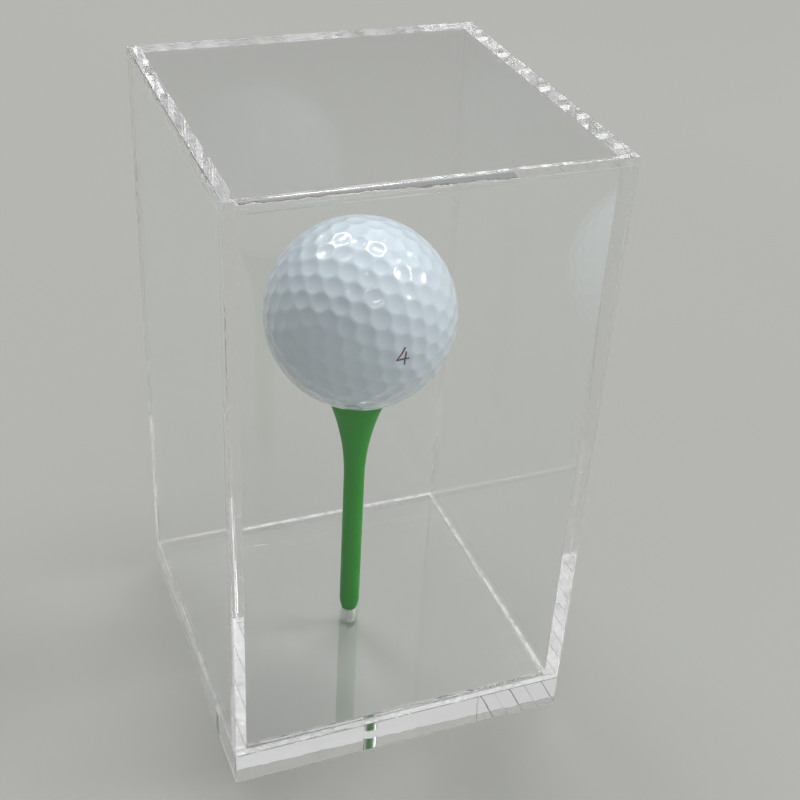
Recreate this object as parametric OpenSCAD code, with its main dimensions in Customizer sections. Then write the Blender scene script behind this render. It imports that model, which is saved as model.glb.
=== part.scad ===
// Display case for one golf ball: a clear acrylic cover lifts off a thick clear base,
// and the ball stands inside on a tee that plugs into the middle of the base.
// The origin is the middle of the base's underside, +Z is up and the front faces -Y.

/* [Case] */
// Width of the case, left to right
case_w = 80; // [70:1:120]
// Depth of the case, front to back
case_d = 80; // [70:1:120]
// Thickness of the four upright panels
wall_t = 3; // [2:0.1:5]
// Thickness of the top panel
top_t = 2.5; // [2:0.1:5]
// Free height between the ball and the top panel
headroom = 24.8; // [24.2:0.1:60]
// Bevel broken on the outer edges of the panels and the base
arris = 0.25; // [0.1:0.05:0.6]

/* [Base] */
// Thickness of the base plate
base_t = 8.6; // [8.2:0.1:20]
// Thickness of the thin plate on the base that keeps the cover in place
locator_t = 1; // [0.8:0.1:3]
// Gap between the thin plate and the cover's walls
cover_fit = 0.3; // [0.1:0.05:0.6]
// Depth of the blind hole for the tee, below the floor inside the case
tee_hole_depth = 8.3; // [8.1:0.1:8.6]

/* [Tee] */
// Height of the tee's rim above the base
tee_stand = 64; // [50:0.5:80]
// Diameter of the stem
stem_d = 4.9; // [4.7:0.1:6]
// Height of the part of the stem that flares out to the head
flare_h = 21; // [12:0.5:30]
// Diameter of the head
head_d = 12.4; // [11:0.1:14]
// Height of the head's upright rim
rim_h = 2.4; // [1.5:0.1:4]
// Diameter of the cup's mouth
cup_d = 10.4; // [9:0.1:10.4]
// Radius of the cup's round bottom
cup_r = 9; // [7:0.1:14]
// Diameter of the stem's end, where it meets the floor
foot_d = 4; // [4:0.1:4.6]
// Height of the taper above the stem's end
foot_taper_h = 2.3; // [1:0.1:5]
// Diameter of the plug below the stem
plug_d = 3.6; // [2.4:0.1:3.7]
// Length of the plug
plug_len = 8; // [3:0.5:8]
// Gap round the plug in its hole
plug_fit = 0.05; // [0.02:0.01:0.1]

/* [Ball] */
// Diameter of the ball over its dimpled surface
ball_d = 42.67; // [41.2:0.01:44]
// Gap between the ball and the mouth of the cup
seat_gap = 0.1; // [0.05:0.05:0.3]
// Thickness of the dimpled cover
skin_t = 0.8; // [0.6:0.1:2]
// Thickness of the layer under the cover
mantle_t = 1; // [0.5:0.1:3]
// Depth of a dimple below the ball's surface
dimple_depth = 0.28; // [0.15:0.01:0.4]
// Diameter of the dimples along the pattern's edges
dimple_edge_d = 3.75; // [3:0.05:3.75]
// Diameter of the dimples inside the pattern's faces
dimple_face_d = 4.05; // [3:0.05:4.05]
// Diameter of the dimple in the middle of a face
dimple_mid_d = 4.3; // [3:0.05:4.3]

/* [Hidden] */

// Smoothness of round parts
$fn = 72;
// Length by which a cutter stands clear of what it cuts
clear = 1;
// Small bevel on the corners of the tee's rim
rim_ease = 0.3;
// Overlap of a dimple's cutter past the dimple's edge
dimple_rim = 0.05;
// Height of a dimple's cutter above the ball's surface
dimple_rise = 0.3;

// The thin plate's top is the floor inside the case, and the walls stand on the base round it
floor_z = base_t + locator_t;

// The tee stands in the middle of the floor, and the ball rests on the mouth of its cup
rim_z = floor_z + tee_stand;
rim_low_z = rim_z - rim_h;
flare_z = rim_low_z - flare_h;
stem_r = stem_d / 2;
head_r = head_d / 2;
plug_hole_d = plug_d + 2 * plug_fit;
ball_r = ball_d / 2;
ball_z = rim_z + sqrt(pow(ball_r + seat_gap, 2) - pow(cup_d / 2, 2));

// The case's height follows from what stands in it
case_h = ball_z + ball_r + headroom + top_t;
top_z = case_h - top_t;
wall_h = top_z - base_t;
side_d = case_d - 2 * wall_t;

// Radius of the arc that carries the stem out to the head
flare_run = head_r - stem_r;
flare_r = (pow(flare_h, 2) + pow(flare_run, 2)) / (2 * flare_run);

// The dimples lie on an icosahedron's corners, edges and faces
DIMPLE_STEPS = 6;
ICO_ARC = acos(1 / sqrt(5));
ICO_RING = 90 - ICO_ARC;

// Turn of the ball as it lies in the cup
BALL_TURN = [29, 9, 0];

// Tidy tints for the model's own views
acrylic_tint = [0.86, 0.92, 0.94, 0.28];
tee_tint = [0.16, 0.55, 0.24];
ball_tint = [0.95, 0.95, 0.93];
mantle_tint = [0.86, 0.80, 0.62];
core_tint = [0.62, 0.70, 0.78];

// Rectangle centred on the origin with its corners bevelled
module bevelled_rect(w, d, bevel) {
    polygon([
        [-w / 2 + bevel, -d / 2], [w / 2 - bevel, -d / 2],
        [w / 2, -d / 2 + bevel], [w / 2, d / 2 - bevel],
        [w / 2 - bevel, d / 2], [-w / 2 + bevel, d / 2],
        [-w / 2, d / 2 - bevel], [-w / 2, -d / 2 + bevel]
    ]);
}

// Outline of a slab seen from the side, with its top and bottom edges bevelled as asked
module slab_side(w, low_z, high_z, low_bevel, high_bevel) {
    polygon([
        [-w / 2 + low_bevel, low_z], [w / 2 - low_bevel, low_z],
        [w / 2, low_z + low_bevel], [w / 2, high_z - high_bevel],
        [w / 2 - high_bevel, high_z], [-w / 2 + high_bevel, high_z],
        [-w / 2, high_z - high_bevel], [-w / 2, low_z + low_bevel]
    ]);
}

// Slab of a given size with its upright edges bevelled, and its flat ones as asked
module slab(w, d, low_z, high_z, low_bevel, high_bevel) {
    intersection() {
        translate([0, 0, low_z])
            linear_extrude(high_z - low_z)
                bevelled_rect(w, d, arris);
        rotate([90, 0, 0])
            linear_extrude(d + 2 * clear, center = true)
                slab_side(w, low_z, high_z, low_bevel, high_bevel);
        rotate([90, 0, 90])
            linear_extrude(w + 2 * clear, center = true)
                slab_side(d, low_z, high_z, low_bevel, high_bevel);
    }
}

// Hole for the tee, from the floor inside the case down into the base plate
module tee_hole() {
    translate([0, 0, floor_z - tee_hole_depth])
        cylinder(d = plug_hole_d, h = tee_hole_depth + clear);
}

// Thick plate that the cover stands on
module base_plate() {
    color(acrylic_tint)
        difference() {
            slab(case_w, case_d, 0, base_t, arris, 0);
            tee_hole();
        }
}

// Thin plate on the base, just smaller than the inside of the cover
module locating_plate() {
    color(acrylic_tint)
        difference() {
            slab(case_w - 2 * (wall_t + cover_fit), case_d - 2 * (wall_t + cover_fit),
                base_t, floor_z, 0, arris);
            tee_hole();
        }
}

// Full-width panel whose two upright outer edges are bevelled, for the front or the back
module broad_panel(side) {
    translate([0, side * (case_d - wall_t) / 2, base_t])
        linear_extrude(wall_h)
            difference() {
                square([case_w, wall_t], center = true);
                for (end = [-1, 1])
                    translate([end * case_w / 2, side * wall_t / 2])
                        rotate(45)
                            square(arris * sqrt(2), center = true);
            }
}

// Plain panel that stands between the front and the back one
module narrow_panel(side) {
    translate([side * (case_w - wall_t) / 2, 0, base_t])
        linear_extrude(wall_h)
            square([wall_t, side_d], center = true);
}

module front_panel() {
    color(acrylic_tint)
        broad_panel(-1);
}

module back_panel() {
    color(acrylic_tint)
        broad_panel(1);
}

module left_panel() {
    color(acrylic_tint)
        narrow_panel(-1);
}

module right_panel() {
    color(acrylic_tint)
        narrow_panel(1);
}

// Lid of the cover, cemented on top of the four upright panels
module top_panel() {
    color(acrylic_tint)
        slab(case_w, case_d, top_z, case_h, 0, arris);
}

// Half outline of the tee, to be turned about the upright axis
module tee_outline() {
    difference() {
        union() {
            // Plug in the base
            translate([0, floor_z - plug_len])
                square([plug_d / 2, plug_len + clear]);
            // Tapered end of the stem
            polygon([
                [0, floor_z], [foot_d / 2, floor_z],
                [stem_r, floor_z + foot_taper_h], [0, floor_z + foot_taper_h]
            ]);
            // Stem
            translate([0, floor_z + foot_taper_h])
                square([stem_r, rim_z - floor_z - foot_taper_h]);
            // Flare under the head
            difference() {
                translate([0, flare_z])
                    square([head_r, flare_h]);
                translate([stem_r + flare_r, flare_z])
                    circle(flare_r, $fn = 360);
            }
            // Rim, with its lower and upper corners eased
            polygon([
                [0, rim_low_z], [head_r, rim_low_z],
                [head_r, rim_z - rim_ease], [head_r - rim_ease, rim_z], [0, rim_z]
            ]);
        }
        // Cup
        translate([0, rim_z + sqrt(pow(cup_r, 2) - pow(cup_d / 2, 2))])
            circle(cup_r, $fn = 180);
    }
}

// Tee: a flared head with a cup, a straight stem and a plug below it
module golf_tee() {
    color(tee_tint)
        rotate_extrude()
            intersection() {
                tee_outline();
                translate([0, floor_z - plug_len])
                    square([head_d, plug_len + tee_stand]);
            }
}

// Corners of the icosahedron: one at each pole and two rings of five
function ring_point(turn, height) =
    [cos(height) * cos(turn), cos(height) * sin(turn), sin(height)];
function upper(i) = ring_point(72 * i, ICO_RING);
function lower(i) = ring_point(72 * i + 36, -ICO_RING);
NORTH = [0, 0, 1];
SOUTH = [0, 0, -1];

// Its faces and edges, each as a list of corners
ICO_FACES = [
    for (i = [0:4])
        each [
            [NORTH, upper(i), upper(i + 1)], [upper(i), lower(i), upper(i + 1)],
            [lower(i), lower(i + 1), upper(i + 1)], [SOUTH, lower(i + 1), lower(i)]
        ]
];
ICO_EDGES = [
    for (i = [0:4])
        each [
            [NORTH, upper(i)], [upper(i), upper(i + 1)], [upper(i), lower(i)],
            [lower(i), upper(i + 1)], [lower(i), lower(i + 1)], [SOUTH, lower(i)]
        ]
];
ICO_CORNERS = concat([NORTH, SOUTH], [for (i = [0:4]) each [upper(i), lower(i)]]);

// Points spread evenly along an edge or over a face, as sums of its corners
function share(step) = sin(ICO_ARC * step / DIMPLE_STEPS);
function edge_point(edge, i) = share(i) * edge[0] + share(DIMPLE_STEPS - i) * edge[1];
function face_point(face, i, j) =
    share(i) * face[0] + share(j) * face[1] + share(DIMPLE_STEPS - i - j) * face[2];

EDGE_POINTS = [for (edge = ICO_EDGES, i = [1:DIMPLE_STEPS - 1]) edge_point(edge, i)];
FACE_POINTS = [
    for (face = ICO_FACES, i = [1:DIMPLE_STEPS - 2], j = [1:DIMPLE_STEPS - 1 - i])
        if (i != 2 || j != 2)
            face_point(face, i, j)
];
MID_POINTS = [for (face = ICO_FACES) face_point(face, 2, 2)];

// Cutter for one dimple at the ball's top: a spherical dish of the given diameter
module dimple_cutter(dish_d) {
    low_r = ball_r - dimple_depth;
    edge_z = sqrt(pow(ball_r, 2) - pow(dish_d / 2, 2));
    dish_r = (pow(dish_d / 2, 2) + pow(edge_z - low_r, 2)) / (2 * (edge_z - low_r));
    rotate_extrude($fn = 24)
        intersection() {
            translate([0, low_r + dish_r])
                circle(dish_r, $fn = 180);
            translate([0, low_r - clear])
                square([dish_d / 2 + dimple_rim, clear + dimple_depth + dimple_rise]);
        }
}

// Dimple cutters at a list of directions from the ball's middle
module dimples_at(points, dish_d) {
    for (p = points)
        rotate([0, acos(p[2] / norm(p)), atan2(p[1], p[0])])
            dimple_cutter(dish_d);
}

// Outer layer of the ball, dimpled outside and round inside
module ball_cover() {
    color(ball_tint)
        translate([0, 0, ball_z])
            rotate(BALL_TURN)
                difference() {
                    sphere(ball_r, $fn = 120);
                    sphere(ball_r - skin_t, $fn = 240);
                    dimples_at(concat(ICO_CORNERS, EDGE_POINTS), dimple_edge_d);
                    dimples_at(FACE_POINTS, dimple_face_d);
                    dimples_at(MID_POINTS, dimple_mid_d);
                }
}

// Thin layer between the cover and the core
module ball_mantle() {
    color(mantle_tint)
        translate([0, 0, ball_z])
            difference() {
                sphere(ball_r - skin_t, $fn = 120);
                sphere(ball_r - skin_t - mantle_t, $fn = 120);
            }
}

// Solid rubber core
module ball_core() {
    color(core_tint)
        translate([0, 0, ball_z])
            sphere(ball_r - skin_t - mantle_t, $fn = 120);
}

base_plate();
locating_plate();
front_panel();
back_panel();
left_panel();
right_panel();
top_panel();
golf_tee();
ball_cover();
ball_mantle();
ball_core();
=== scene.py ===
import math

import bmesh
import bpy
import numpy as np
from mathutils import Matrix, Vector


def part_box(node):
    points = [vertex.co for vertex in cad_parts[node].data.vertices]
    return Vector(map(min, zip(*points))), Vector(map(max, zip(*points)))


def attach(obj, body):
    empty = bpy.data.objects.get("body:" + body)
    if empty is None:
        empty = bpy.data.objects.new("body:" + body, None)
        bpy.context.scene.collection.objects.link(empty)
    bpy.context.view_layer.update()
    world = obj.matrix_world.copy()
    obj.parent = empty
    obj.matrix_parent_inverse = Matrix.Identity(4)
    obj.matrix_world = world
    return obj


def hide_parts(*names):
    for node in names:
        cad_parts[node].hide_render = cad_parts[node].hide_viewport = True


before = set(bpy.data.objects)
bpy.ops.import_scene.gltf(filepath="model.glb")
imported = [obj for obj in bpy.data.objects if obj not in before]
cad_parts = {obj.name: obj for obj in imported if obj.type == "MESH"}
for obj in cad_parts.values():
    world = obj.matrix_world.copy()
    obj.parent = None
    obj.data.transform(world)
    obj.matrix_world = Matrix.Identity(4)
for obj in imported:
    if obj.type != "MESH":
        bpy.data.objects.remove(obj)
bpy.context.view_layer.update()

MM = 0.001
X, Y, Z = range(3)
ROUND_STEPS = 96

# Sizes of the solids, from the frame
BASE_LO, BASE_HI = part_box("base_plate")
SHEET_LO, SHEET_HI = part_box("locating_plate")
LEFT_LO, LEFT_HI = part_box("left_panel")
TOP_LO, TOP_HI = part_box("top_panel")
HALF_W = BASE_HI[0]
HALF_D = BASE_HI[1]
WALL = LEFT_HI[0] - LEFT_LO[0]
IN_X = HALF_W - WALL
IN_Y = HALF_D - WALL
LEDGE_Z = BASE_HI[2]
FLOOR_Z = SHEET_HI[2]
TOP_Z = TOP_LO[2]

# Sizes that the solids' boxes don't give
HOLE_R = 1.85 * MM
HOLE_DEPTH = 8.3 * MM
CUP_R = 5.2 * MM
BALL_R = 42.67 / 2 * MM
BALL_PLAY = 0.1 * MM
RIM_Z = FLOOR_Z + 64 * MM
BALL_Z = RIM_Z + math.sqrt((BALL_R + BALL_PLAY) ** 2 - CUP_R ** 2)
DIMPLE_DEPTH = 0.28 * MM

# Gaps that keep touching pieces of acrylic apart
JOINT_GAP = 0.01 * MM
REST_GAP = 0.06 * MM
FILM_GAP = 0.02 * MM

# Edges: the outer ones are rounded, the others only broken
OUTER_BEVEL = 0.25 * MM
PANEL_ARRIS = 0.06 * MM
PLATE_ARRIS = 0.08 * MM


# Shader nodes

def add_node(tree, kind, inputs, **settings):
    """Add a shader node. Each input is given a value or linked to another node's output."""
    new = tree.nodes.new("ShaderNode" + kind)
    for key, value in settings.items():
        setattr(new, key, value)
    for key, value in inputs.items():
        if isinstance(value, bpy.types.NodeSocket):
            tree.links.new(value, new.inputs[key])
        else:
            new.inputs[key].default_value = value
    return new


def linear(level):
    return level / 12.92 if level <= 0.04045 else ((level + 0.055) / 1.055) ** 2.4


def srgb(*levels):
    return tuple(linear(level / 255) for level in levels) + (1.0,)


def grey(level):
    return (level, level, level, 1)


def object_coords(tree):
    return add_node(tree, "TexCoord", {}).outputs["Object"]


def noise(tree, coords, scale, detail=3.0, rough=0.5):
    inputs = {"Scale": scale, "Detail": detail, "Roughness": rough, "Vector": coords}
    return add_node(tree, "TexNoise", inputs).outputs["Fac"]


def ramp(tree, fac, stops):
    new = add_node(tree, "ValToRGB", {"Fac": fac})
    elements = new.color_ramp.elements
    while len(elements) < len(stops):
        elements.new(0.5)
    for element, (place, colour) in zip(elements, stops):
        element.position = place
        element.color = colour
    return new.outputs["Color"]


def bump(tree, height, strength, distance):
    inputs = {"Strength": strength, "Distance": distance, "Height": height}
    return add_node(tree, "Bump", inputs).outputs["Normal"]


def map_range(tree, value, before, after):
    inputs = {"From Min": before[0], "From Max": before[1],
              "To Min": after[0], "To Max": after[1], "Value": value}
    return add_node(tree, "MapRange", inputs).outputs["Result"]


def mix(tree, share, first, second):
    inputs = {"Fac": share, 1: first.outputs["BSDF"], 2: second.outputs["BSDF"]}
    return add_node(tree, "MixShader", inputs).outputs["Shader"]


# Materials

ACRYLIC_IOR = 1.49
VOIDS_REACH = 34 * MM


def make_material(name, shader, *values):
    mat = bpy.data.materials.new(name)
    mat.use_nodes = True
    tree = mat.node_tree
    tree.nodes.clear()
    out = tree.nodes.new("ShaderNodeOutputMaterial")
    tree.links.new(shader(tree, *values), out.inputs["Surface"])
    return mat


def acrylic(tree, wave_scale, wave_height, roughness=0.0, clarity=(1.0, 1.0)):
    """Acrylic with a slightly wavy surface, in patches where its two clarities differ."""
    coords = object_coords(tree)
    low, high = clarity
    glass = add_node(tree, "BsdfPrincipled", {
        "Base Color": (0.992, 0.995, 0.994, 1),
        "Roughness": roughness,
        "IOR": ACRYLIC_IOR,
        "Transmission Weight": high,
        "Normal": bump(tree, noise(tree, coords, wave_scale, 2), 1.0, wave_height)})
    if low < high:
        patches = ramp(tree, noise(tree, coords, 280, 2), [(0.42, grey(low)), (0.58, grey(high))])
        tree.links.new(patches, glass.inputs["Transmission Weight"])
    # Light on its way to other surfaces goes straight through, less at a slant
    slant = add_node(tree, "LayerWeight", {"Blend": 0.5}).outputs["Facing"]
    through = ramp(tree, slant, [(0.0, grey(0.976)), (0.3, grey(0.97)),
                                 (0.6, grey(0.93)), (1.0, grey(0.6))])
    clear = add_node(tree, "BsdfTransparent", {"Color": through})
    rays = add_node(tree, "LightPath", {}).outputs
    onward = add_node(tree, "Math", {0: rays["Is Shadow Ray"], 1: rays["Is Diffuse Ray"]},
                      operation="MAXIMUM")
    return mix(tree, onward.outputs["Value"], glass, clear)


def cement(tree):
    """A cemented joint: unseen, but for voids that grow more towards the base."""
    clear = add_node(tree, "BsdfTransparent", {"Color": grey(0.995)})
    void = add_node(tree, "BsdfPrincipled", {
        "Base Color": grey(1), "Roughness": 0.03, "IOR": ACRYLIC_IOR, "Transmission Weight": 1.0})
    coords = object_coords(tree)
    height = add_node(tree, "SeparateXYZ", {"Vector": coords}).outputs["Z"]
    low = map_range(tree, height, (LEDGE_Z, LEDGE_Z + VOIDS_REACH), (0.22, -0.12))
    blots = add_node(tree, "Math", {0: noise(tree, coords, 150, 3, 0.55), 1: low}, operation="ADD")
    seen = ramp(tree, blots.outputs["Value"], [(0.56, grey(0)), (0.6, grey(1))])
    rays = add_node(tree, "LightPath", {}).outputs
    for kind in ("Is Shadow Ray", "Is Diffuse Ray"):
        keep = add_node(tree, "Math", {0: seen, 1: rays[kind]},
                        operation="SUBTRACT", use_clamp=True)
        seen = keep.outputs["Value"]
    return mix(tree, seen, clear, void)


def lacquer(tree):
    coords = object_coords(tree)
    tone = ramp(tree, noise(tree, coords, 90, 3),
                [(0.3, srgb(224, 238, 249)), (0.7, srgb(230, 244, 253))])
    rough = ramp(tree, noise(tree, coords, 260, 3), [(0.3, grey(0.17)), (0.7, grey(0.25))])
    return add_node(tree, "BsdfPrincipled", {
        "Base Color": tone,
        "Roughness": rough,
        "IOR": 1.5,
        "Coat Weight": 0.6,
        "Coat Roughness": 0.03,
        "Normal": bump(tree, noise(tree, coords, 1500, 2), 0.05, 0.03 * MM)}).outputs["BSDF"]


def green_paint(tree):
    """Paint with a fine grain that runs along the tee."""
    coords = object_coords(tree)
    stretched = add_node(tree, "Mapping", {"Scale": (1, 1, 0.12), "Vector": coords})
    grain = noise(tree, stretched.outputs["Vector"], 2600, 4, 0.6)
    tone = ramp(tree, grain, [(0.25, srgb(0, 152, 0)), (0.75, srgb(0, 172, 10))])
    rough = ramp(tree, noise(tree, coords, 900, 3), [(0.3, grey(0.4)), (0.7, grey(0.54))])
    return add_node(tree, "BsdfPrincipled", {
        "Base Color": tone,
        "Roughness": rough,
        "Specular IOR Level": 0.12,
        "Normal": bump(tree, grain, 0.12, 0.05 * MM)}).outputs["BSDF"]


def plain(tree, low, high, rough, scale=400):
    tone = ramp(tree, noise(tree, object_coords(tree), scale, 3), [(0.3, low), (0.7, high)])
    inputs = {"Base Color": tone, "Roughness": rough}
    return add_node(tree, "BsdfPrincipled", inputs).outputs["BSDF"]


ACRYLIC = make_material("clear_acrylic", acrylic, 60, 0.0006 * MM)
SAWN = make_material("sawn_acrylic", acrylic, 900, 0.02 * MM, 0.25, (0.3, 0.75))
MILLED = make_material("milled_acrylic", acrylic, 260, 0.06 * MM)
POLISHED = make_material("polished_acrylic", acrylic, 260, 0.025 * MM)
DRILLED = make_material("drilled_acrylic", acrylic, 900, 0.01 * MM, 0.25, (0.9, 0.9))
JOINT = make_material("cemented_acrylic", cement)
BALL = make_material("lacquered_white", lacquer)
TEE = make_material("green_paint", green_paint)
INK = make_material("brown_ink", plain, srgb(92, 48, 40), srgb(106, 58, 46), 0.35, 900)
MANTLE = make_material("mantle_plastic", plain, srgb(222, 208, 170), srgb(228, 215, 180), 0.5)
CORE = make_material("core_rubber", plain, srgb(140, 156, 172), srgb(150, 166, 180), 0.7)
FLOOR = make_material("floor_grey", plain, srgb(173, 174, 169), srgb(176, 177, 172), 0.55, 3)


# Meshes

def add_object(name, data):
    obj = bpy.data.objects.new(name, data)
    bpy.context.scene.collection.objects.link(obj)
    return obj


def mesh_from(name, bm, mats=()):
    mesh = bpy.data.meshes.new(name)
    bm.to_mesh(mesh)
    bm.free()
    for mat in mats:
        mesh.materials.append(mat)
    return mesh


def finish_piece(name, bm, mats, body, nodes, sharp_angle=None):
    """Make the piece's object, smooth up to the sharp angle where that is given."""
    bmesh.ops.recalc_face_normals(bm, faces=bm.faces)
    mesh = mesh_from(name, bm, mats)
    if sharp_angle is not None:
        for poly in mesh.polygons:
            poly.use_smooth = True
        mesh.set_sharp_from_angle(angle=math.radians(sharp_angle))
    obj = add_object(name, mesh)
    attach(obj, body)
    if nodes:
        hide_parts(*nodes)


def box_bmesh(lo, hi):
    bm = bmesh.new()
    bmesh.ops.create_cube(bm, size=1)
    lo, hi = Vector(lo), Vector(hi)
    for v in bm.verts:
        v.co = Vector(lo[i] + (hi[i] - lo[i]) * (v.co[i] + 0.5) for i in range(3))
    return bm


def split_at(bm, axis, where):
    point, normal = Vector((0, 0, 0)), Vector((0, 0, 0))
    point[axis] = where
    normal[axis] = 1
    geom = list(bm.verts) + list(bm.edges) + list(bm.faces)
    bmesh.ops.bisect_plane(bm, geom=geom, dist=1e-9, plane_co=point, plane_no=normal)


def sharp_edges(bm, test=lambda e: True):
    return [e for e in bm.edges
            if len(e.link_faces) == 2 and e.calc_face_angle(0) > 0.5 and test(e)]


def bevel(bm, edges, size, segments=2):
    bmesh.ops.bevel(bm, geom=edges, offset=size, offset_type="OFFSET", segments=segments,
                    profile=0.5, affect="EDGES", clamp_overlap=True)


def on_plane(edge, axis, where):
    return all(abs(v.co[axis] - where) < 1e-7 for v in edge.verts)


def on_either(edge, axis, where):
    return on_plane(edge, axis, -where) or on_plane(edge, axis, where)


def at_corner(edge, half_w, half_d):
    return on_either(edge, X, half_w) and on_either(edge, Y, half_d)


def looks(face, axis, sign):
    """Whether the face looks along the axis, the way that the sign says."""
    return sign * face.normal[axis] > 0.9


def looks_along(face, axis):
    return looks(face, axis, 1) or looks(face, axis, -1)


def beyond(face, axis, limit):
    return abs(face.calc_center_median()[axis]) > limit


# The cover's panels

def panel(name, lo, hi, splits, is_joint, is_end, is_outer):
    """One panel. Faces are split where another panel's cemented edge meets them."""
    bm = box_bmesh(lo, hi)
    for axis, where in splits:
        split_at(bm, axis, where)
    bm.normal_update()
    mats = [ACRYLIC, JOINT, SAWN, MILLED]
    for f in bm.faces:
        if is_joint(f):
            f.material_index = mats.index(JOINT)
        elif looks(f, Z, -1) and lo[Z] < TOP_Z / 2:
            f.material_index = mats.index(SAWN)
        elif is_end(f):
            f.material_index = mats.index(MILLED)
    bevel(bm, sharp_edges(bm, is_outer), OUTER_BEVEL)
    bm.normal_update()
    bevel(bm, sharp_edges(bm), PANEL_ARRIS, 1)
    finish_piece(name.replace("panel", "sheet"), bm, mats, "cover", [name])


WALL_LO_Z = LEDGE_Z + REST_GAP
WALL_HI_Z = TOP_Z - JOINT_GAP
for name, side in (("front_panel", -1), ("back_panel", 1)):
    y = sorted((side * HALF_D, side * (IN_Y + JOINT_GAP)))
    panel(
        name, (-HALF_W, y[0], WALL_LO_Z), (HALF_W, y[1], WALL_HI_Z),
        [(X, -IN_X), (X, IN_X)],
        lambda f, s=side: looks(f, Z, 1) or (looks(f, Y, -s) and beyond(f, X, IN_X)),
        lambda f: looks_along(f, X),
        lambda e, s=side: on_plane(e, Y, s * HALF_D) and on_either(e, X, HALF_W))
for name, side in (("left_panel", -1), ("right_panel", 1)):
    x = sorted((side * HALF_W, side * IN_X))
    panel(
        name, (x[0], -IN_Y + JOINT_GAP, WALL_LO_Z), (x[1], IN_Y - JOINT_GAP, WALL_HI_Z),
        [],
        lambda f: looks(f, Z, 1) or looks_along(f, Y),
        lambda f: False,
        lambda e: False)
panel(
    "top_panel", (-HALF_W, -HALF_D, TOP_Z + JOINT_GAP), (HALF_W, HALF_D, TOP_HI[2]),
    [(X, -IN_X), (X, IN_X), (Y, -IN_Y), (Y, IN_Y)],
    lambda f: looks(f, Z, -1) and (beyond(f, X, IN_X) or beyond(f, Y, IN_Y)),
    lambda f: not looks_along(f, Z),
    lambda e: on_plane(e, Z, TOP_HI[2]) or at_corner(e, HALF_W, HALF_D))


# The base and the locating plate

def cut_hole(bm):
    """The same plate with the tee's hole in it."""
    cm = bmesh.new()
    bmesh.ops.create_cone(cm, cap_ends=True, segments=ROUND_STEPS, radius1=HOLE_R,
                          radius2=HOLE_R, depth=2 * HOLE_DEPTH)
    bmesh.ops.translate(cm, vec=(0, 0, FLOOR_Z), verts=cm.verts)
    blank = add_object("plate_blank", mesh_from("plate_blank", bm))
    cutter = add_object("hole_cutter", mesh_from("hole_cutter", cm))
    mod = blank.modifiers.new("hole", "BOOLEAN")
    mod.operation = "DIFFERENCE"
    mod.solver = "EXACT"
    mod.object = cutter
    graph = bpy.context.evaluated_depsgraph_get()
    done = bmesh.new()
    done.from_mesh(blank.evaluated_get(graph).to_mesh())
    for obj in (blank, cutter):
        bpy.data.objects.remove(obj)
    return done


def holed_plate(name, lo, hi, bevel_z, node, arris_mat):
    """Clear plate with the tee's hole, its upright edges and those at one height bevelled."""
    bm = box_bmesh(lo, hi)
    bm.normal_update()
    outer = sharp_edges(bm, lambda e: on_plane(e, Z, bevel_z) or at_corner(e, hi[X], hi[Y]))
    bevel(bm, outer, OUTER_BEVEL)
    bm.normal_update()
    bevel(bm, sharp_edges(bm), PLATE_ARRIS, 1)
    bm = cut_hole(bm)
    bm.normal_update()
    in_hole, on_edge, on_arris = 1, 2, 3
    near_hole = 1.2 * HOLE_R
    for f in bm.faces:
        f.smooth = False
        middle = f.calc_center_median()
        upright = abs(f.normal.z) < 0.1
        if upright and math.hypot(middle.x, middle.y) < near_hole:
            f.material_index = in_hole
        elif upright:
            f.material_index = on_edge
        elif 0.1 < f.normal.z < 0.95:
            f.material_index = on_arris
    mats = [ACRYLIC, DRILLED, POLISHED, arris_mat]
    finish_piece(name, bm, mats, "base", [node])


holed_plate("base_block", BASE_LO, BASE_HI, BASE_LO[2], "base_plate", ACRYLIC)
holed_plate("locating_sheet", (SHEET_LO[0], SHEET_LO[1], LEDGE_Z + FILM_GAP), SHEET_HI,
            SHEET_HI[2], "locating_plate", SAWN)


# The tee

def lathe(profile):
    bm = bmesh.new()
    turns = [2 * math.pi * i / ROUND_STEPS for i in range(ROUND_STEPS)]
    rings = []
    for r, z in profile:
        if r < 1e-9:
            rings.append([bm.verts.new((0, 0, z))])
        else:
            rings.append([bm.verts.new((r * math.cos(a), r * math.sin(a), z)) for a in turns])
    for a, b in zip(rings, rings[1:]):
        for i in range(ROUND_STEPS):
            j = (i + 1) % ROUND_STEPS
            if len(a) == 1:
                bm.faces.new((a[0], b[i], b[j]))
            elif len(b) == 1:
                bm.faces.new((a[i], a[j], b[0]))
            else:
                bm.faces.new((a[i], a[j], b[j], b[i]))
    return bm


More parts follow.
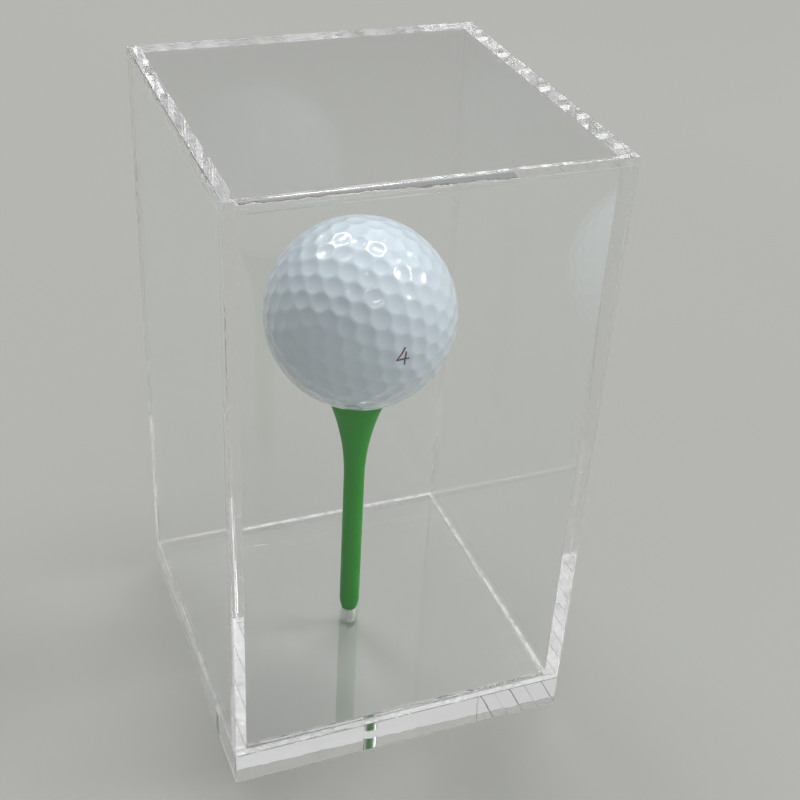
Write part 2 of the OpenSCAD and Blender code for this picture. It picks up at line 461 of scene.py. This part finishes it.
def tee_profile():
    """Radii and heights from the plug's tip round to the cup's bottom, worked out in mm."""
    stem, head, rim_h, flare_h = 2.45, 6.2, 2.4, 21.0
    plug, tip, foot = 1.8, 8.0, 2.0
    cup, cup_r = CUP_R / MM, 9.0
    flare_steps, cup_steps = 28, 14
    floor_z, rim_z = FLOOR_Z / MM, RIM_Z / MM
    low = rim_z - rim_h
    run = head - stem
    arc = (flare_h ** 2 + run ** 2) / (2 * run)
    tip_z = floor_z - tip
    pts = [(0, tip_z), (plug - 0.2, tip_z), (plug, tip_z + 0.2), (plug, floor_z),
           (foot, floor_z + 0.02), (stem - 0.02, floor_z + 2.2), (stem, floor_z + 2.5)]
    for i in range(1, flare_steps + 1):
        z = flare_h * i / flare_steps
        pts.append((stem + arc - math.sqrt(arc * arc - z * z), low - flare_h + z))
    pts += [(head, low + 0.25), (head, rim_z - 0.35), (head - 0.1, rim_z - 0.1),
            (head - 0.35, rim_z), (cup + 0.12, rim_z), (cup, rim_z - 0.05)]
    drop = math.sqrt(cup_r ** 2 - cup ** 2)
    for i in range(1, cup_steps + 1):
        r = cup * (1 - i / cup_steps)
        pts.append((r, rim_z + drop - math.sqrt(cup_r ** 2 - r * r)))
    return [(r * MM, z * MM) for r, z in pts]


finish_piece("tee", lathe(tee_profile()), [TEE], "tee", ["golf_tee"], 40)


# The ball

def dimple_centres():
    """Directions and sizes of the dimples, on an icosahedron's corners, edges and faces."""
    on_edge_d, in_face_d, mid_face_d = 3.75, 4.05, 4.3
    parts = 6
    arc = math.acos(1 / math.sqrt(5))
    ring = math.pi / 2 - arc

    def point(turn, height):
        t = math.radians(turn)
        return np.array([math.cos(height) * math.cos(t), math.cos(height) * math.sin(t),
                         math.sin(height)])

    def share(s):
        return math.sin(arc * s / parts)

    north, south = np.array([0, 0, 1.0]), np.array([0, 0, -1.0])
    up = [point(72 * i, ring) for i in range(6)]
    lo = [point(72 * i + 36, -ring) for i in range(6)]
    faces, edges = [], []
    for i in range(5):
        faces += [(north, up[i], up[i + 1]), (up[i], lo[i], up[i + 1]),
                  (lo[i], lo[i + 1], up[i + 1]), (south, lo[i + 1], lo[i])]
        edges += [(north, up[i]), (up[i], up[i + 1]), (up[i], lo[i]), (lo[i], up[i + 1]),
                  (lo[i], lo[i + 1]), (south, lo[i])]
    found = [(p, on_edge_d) for p in [north, south] + up[:5] + lo[:5]]
    for a, b in edges:
        found += [(share(i) * a + share(parts - i) * b, on_edge_d) for i in range(1, parts)]
    for a, b, c in faces:
        for i in range(1, parts - 1):
            for j in range(1, parts - i):
                size = mid_face_d if i == j == parts // 3 else in_face_d
                found.append((share(i) * a + share(j) * b + share(parts - i - j) * c, size))
    centres = np.array([p / np.linalg.norm(p) for p, _ in found])
    sizes = np.array([s for _, s in found]) * MM
    turn = Matrix.Rotation(math.radians(9), 3, "Y") @ Matrix.Rotation(math.radians(29), 3, "X")
    return centres @ np.array(turn).T, sizes


CENTRES, SIZES = dimple_centres()


def ball_radius(dirs):
    """Distance of the ball's surface from its middle in each direction."""
    batch = 20000
    soft = 0.018 * MM
    low = BALL_R - DIMPLE_DEPTH
    out = np.full(len(dirs), BALL_R)
    for start in range(0, len(dirs), batch):
        d = dirs[start:start + batch]
        cos = d @ CENTRES.T
        near = np.argmax(cos - np.cos(SIZES / 2 / BALL_R), axis=1)
        c = cos[np.arange(len(d)), near]
        a = SIZES[near] / 2
        sag = np.sqrt(BALL_R ** 2 - a ** 2) - low
        dish = (a ** 2 + sag ** 2) / (2 * sag)
        mid = low + dish
        # Near side of the dish's sphere along the direction
        root = dish ** 2 - mid ** 2 * (1 - c ** 2)
        r = np.where(root > 0, mid * c - np.sqrt(np.maximum(root, 0)), 2 * BALL_R)
        # The dish runs softly into the ball's sphere
        out[start:start + batch] = BALL_R - soft * np.logaddexp(0, -(r - BALL_R) / soft)
    return out


def golf_ball():
    bm = bmesh.new()
    bmesh.ops.create_icosphere(bm, subdivisions=7, radius=1)
    mesh = mesh_from("ball_shell", bm, [BALL])
    co = np.empty(len(mesh.vertices) * 3)
    mesh.vertices.foreach_get("co", co)
    dirs = co.reshape(-1, 3)
    dirs /= np.linalg.norm(dirs, axis=1)[:, None]
    pts = dirs * ball_radius(dirs)[:, None] + np.array([0, 0, BALL_Z])
    mesh.vertices.foreach_set("co", pts.ravel())
    mesh.polygons.foreach_set("use_smooth", np.ones(len(mesh.polygons), bool))
    mesh.update()
    obj = add_object("ball_shell", mesh)
    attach(obj, "ball")
    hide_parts("ball_cover")


golf_ball()


# The camera, as fitted to the photograph

AZ, EL, ROLL = (math.radians(a) for a in (-23.167, 33.667, 3.700))
FOCAL_PX, SHIFT_X_PX, SHIFT_Y_PX = 1354.065, 6.034, 8.954
EYE = Vector((-90.872, -242.233, 241.403)) * MM
PICTURE_PX = 800
SENSOR_W = 36


def camera_axes():
    back = Vector((math.sin(AZ) * math.cos(EL), -math.cos(AZ) * math.cos(EL), math.sin(EL)))
    right = Vector((math.cos(AZ), math.sin(AZ), 0))
    up = back.cross(right)
    c, s = math.cos(ROLL), math.sin(ROLL)
    return c * right + s * up, -s * right + c * up, back


RIGHT, UP, BACK = camera_axes()
cam_data = bpy.data.cameras.new("camera")
cam_data.sensor_fit = "HORIZONTAL"
cam_data.sensor_width = SENSOR_W
cam_data.lens = FOCAL_PX / PICTURE_PX * SENSOR_W
cam_data.shift_x = -SHIFT_X_PX / PICTURE_PX
cam_data.shift_y = SHIFT_Y_PX / PICTURE_PX
cam_data.clip_start = 10 * MM
cam = add_object("camera", cam_data)
cam.matrix_world = Matrix.Translation(EYE) @ Matrix((RIGHT, UP, BACK)).transposed().to_4x4()
bpy.context.scene.camera = cam


# The number on the ball

def number_piece():
    """A plain 4, printed on the ball where it faces the camera."""
    out = Vector((0.08, -0.93, 0.04)).normalized()
    middle = Vector((0, 0, BALL_Z))
    side = UP.cross(out).normalized()
    rise = out.cross(side)
    tilt = math.radians(12)
    side, rise = (math.cos(tilt) * side + math.sin(tilt) * rise,
                  -math.sin(tilt) * side + math.cos(tilt) * rise)
    # In mm: the pen's width, the spacing along a stroke, the heights of the print's top and
    # bottom over the ball, and the step from one stroke to the next where they cross
    pen, spacing, lifts, step = 0.42, 0.12, (0.016, -0.02), 0.002
    taper = 0.18
    strokes = [((0.5, 2.1), (-1.45, -0.55)),
               ((-1.6, -0.6), (1.5, -0.6)),
               ((0.62, 1.2), (0.5, -2.0))]
    lines = 4
    bm = bmesh.new()
    for n, (a, b) in enumerate(strokes):
        a, b = Vector(a), Vector(b)
        run = b - a
        length = run.length
        run.normalize()
        across = Vector((-run.y, run.x))
        cols = int(length / spacing) + 1
        grid = []
        for i in range(cols + 1):
            t = i / cols
            half = pen / 2 * (1 - taper * (2 * t - 1) ** 2)
            grid.append([a + run * (length * t) + across * (half * (2 * k / lines - 1))
                         for k in range(lines + 1)])
        dirs = [(out * (BALL_R / MM) + side * p.x + rise * p.y).normalized()
                for row in grid for p in row]
        radii = ball_radius(np.array([tuple(d) for d in dirs]))
        shells = []
        for lift in lifts:
            verts = [bm.verts.new(middle + d * (r + (lift + step * n) * MM))
                     for d, r in zip(dirs, radii)]
            shells.append([verts[i * (lines + 1):(i + 1) * (lines + 1)] for i in range(cols + 1)])
        top, low = shells
        for i in range(cols):
            for k in range(lines):
                bm.faces.new((top[i][k], top[i + 1][k], top[i + 1][k + 1], top[i][k + 1]))
                bm.faces.new((low[i][k], low[i][k + 1], low[i + 1][k + 1], low[i + 1][k]))
            for k in (0, lines):
                bm.faces.new((top[i][k], low[i][k], low[i + 1][k], top[i + 1][k]))
        for i in (0, cols):
            for k in range(lines):
                bm.faces.new((top[i][k], top[i][k + 1], low[i][k + 1], low[i][k]))
    finish_piece("ball_number", bm, [INK], "ball", [], 40)


number_piece()

# The sealed layers keep their solids
for node, mat in (("ball_mantle", MANTLE), ("ball_core", CORE)):
    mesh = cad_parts[node].data
    mesh.materials.clear()
    mesh.materials.append(mat)


# The table, the lamps and the room

TABLE_HALF = 6
TABLE_GAP = 0.1 * MM


def floor():
    bm = bmesh.new()
    bmesh.ops.create_grid(bm, x_segments=8, y_segments=8, size=TABLE_HALF)
    bmesh.ops.translate(bm, vec=(0, 0, -TABLE_GAP), verts=bm.verts)
    obj = add_object("floor", mesh_from("floor", bm, [FLOOR]))


floor()


def lamp(name, place, size, power):
    """Strip lamp that faces the case's foot."""
    data = bpy.data.lights.new(name, "AREA")
    data.shape = "RECTANGLE"
    data.size, data.size_y = size
    data.energy = power
    obj = add_object(name, data)
    obj.location = place
    towards = Vector((0, 0, 0)) - Vector(place)
    obj.rotation_euler = towards.to_track_quat("-Z", "Y").to_euler()


lamp("ceiling_1", (0.6, 0.6, 2.0), (0.6, 0.15), 8)
lamp("ceiling_2", (1.8, -0.3, 1.7), (0.7, 0.2), 14)
lamp("ceiling_3", (-0.4, 1.4, 1.9), (0.7, 0.2), 11.5)
lamp("ceiling_4", (0.0, -1.5, 2.0), (0.5, 0.15), 2)


def along(tree, coords, direction):
    """How far the view's direction agrees with the given one."""
    inputs = {0: coords, 1: direction}
    return add_node(tree, "VectorMath", inputs, operation="DOT_PRODUCT").outputs["Value"]


def room_light():
    """Bright above, dim near the horizon and behind the camera, as under a plain ceiling."""
    world = bpy.data.worlds.new("world")
    bpy.context.scene.world = world
    world.use_nodes = True
    tree = world.node_tree
    coords = add_node(tree, "TexCoord", {}).outputs["Generated"]
    height = add_node(tree, "SeparateXYZ", {"Vector": coords}).outputs["Z"]
    # The lowest tone lies behind the table's far edge, where it goes on from the table
    tone = ramp(tree, height, [(0.05, grey(0.24)), (0.08, grey(0.11)), (0.38, grey(0.31)),
                               (0.68, grey(0.61)), (1.0, (0.76, 0.77, 0.78, 1))])
    ahead = along(tree, coords, (-BACK.x, -BACK.y, 0))
    share = map_range(tree, ahead, (-0.6, 0.3), (0.2, 1.0))
    shaded = add_node(tree, "VectorMath", {0: tone, "Scale": share}, operation="SCALE")
    # A pale wall on the right of the camera
    aside = along(tree, coords, (0.63, -0.71, 0.32))
    glow = map_range(tree, aside, (0.15, 1.0), (0.0, 0.5))
    both = add_node(tree, "VectorMath", {0: shaded.outputs["Vector"], 1: glow}, operation="ADD")
    background = tree.nodes["Background"]
    tree.links.new(both.outputs["Vector"], background.inputs["Color"])
    background.inputs["Strength"].default_value = 1


room_light()

# Clear sheets lie behind one another, so light gets many bounces
BOUNCES = 64
scene = bpy.context.scene
scene.view_settings.view_transform = "Standard"
scene.cycles.max_bounces = BOUNCES
scene.cycles.glossy_bounces = BOUNCES
scene.cycles.transmission_bounces = BOUNCES
scene.cycles.transparent_max_bounces = BOUNCES
